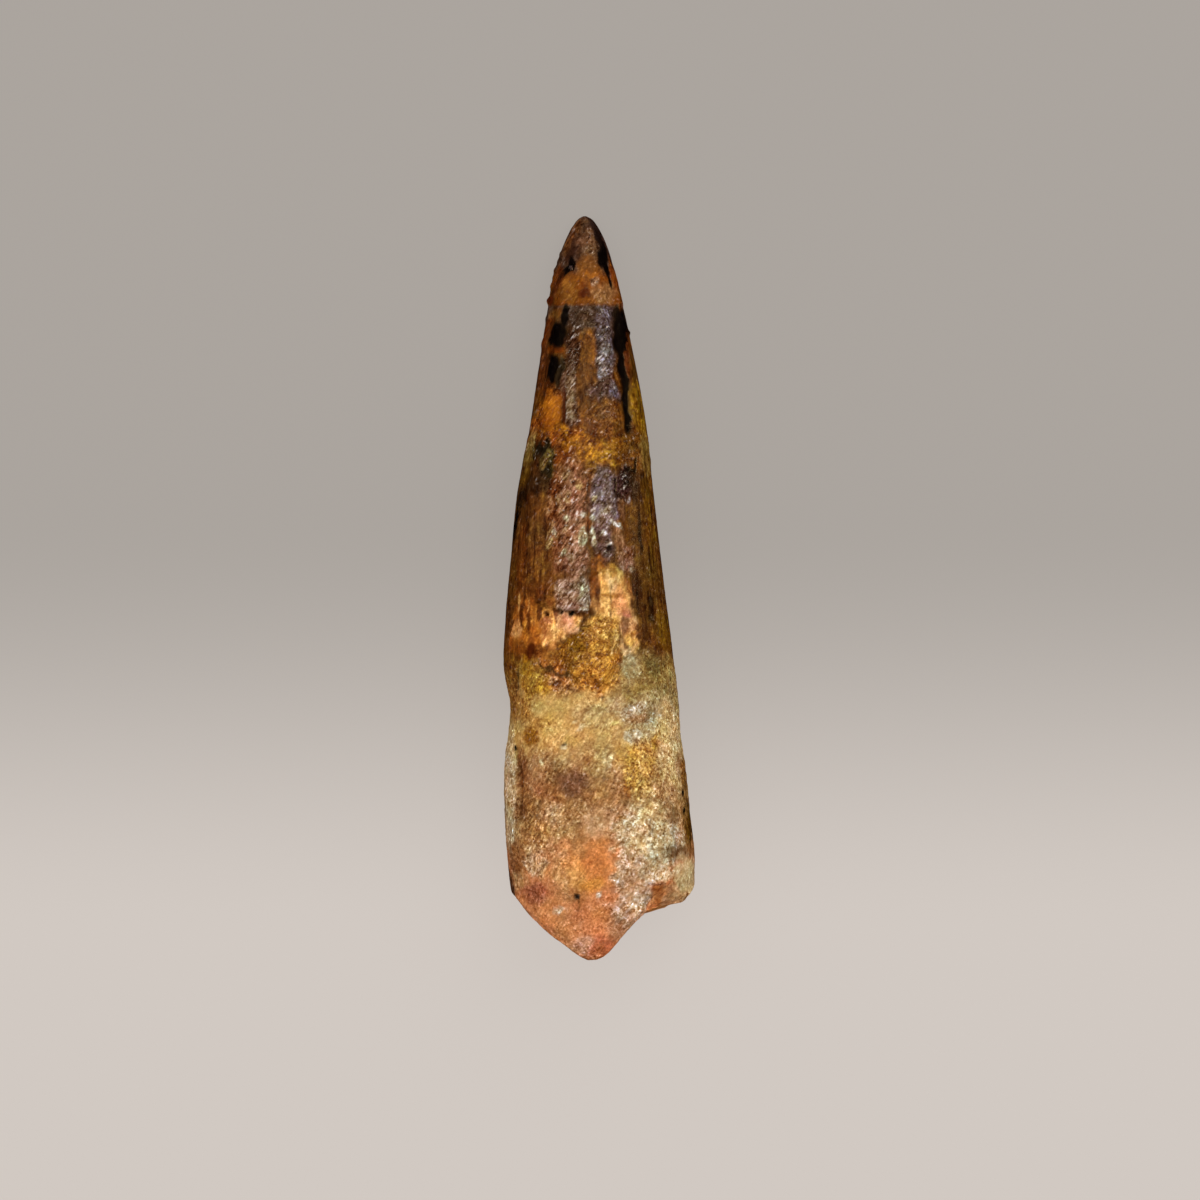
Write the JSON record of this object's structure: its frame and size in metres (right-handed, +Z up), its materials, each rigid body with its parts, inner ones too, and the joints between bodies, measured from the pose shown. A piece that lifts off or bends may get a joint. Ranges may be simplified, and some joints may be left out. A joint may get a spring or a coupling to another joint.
{
  "type": "fossil spinosaur tooth",
  "caption": "Straight conical fossil tooth with a fluted brown enamel crown, a pale root broken to a point, and sandstone stuck to it, lying on its broad side.",
  "frame": {"origin": "on the surface the tooth lies on, under the middle of its length and width", "axes": "+Y along the tooth towards its tip, +X to its right seen from above, +Z up"},
  "size_m": [0.0244, 0.095, 0.0197],
  "materials": {
    "fossil": "mottled brown, ochre and salmon fossil, lightly varnished: glossy on the enamel and duller and grainy on the root"
  },
  "bodies": {
    "root": {"tooth": "fossil"}
  },
  "joints": []
}
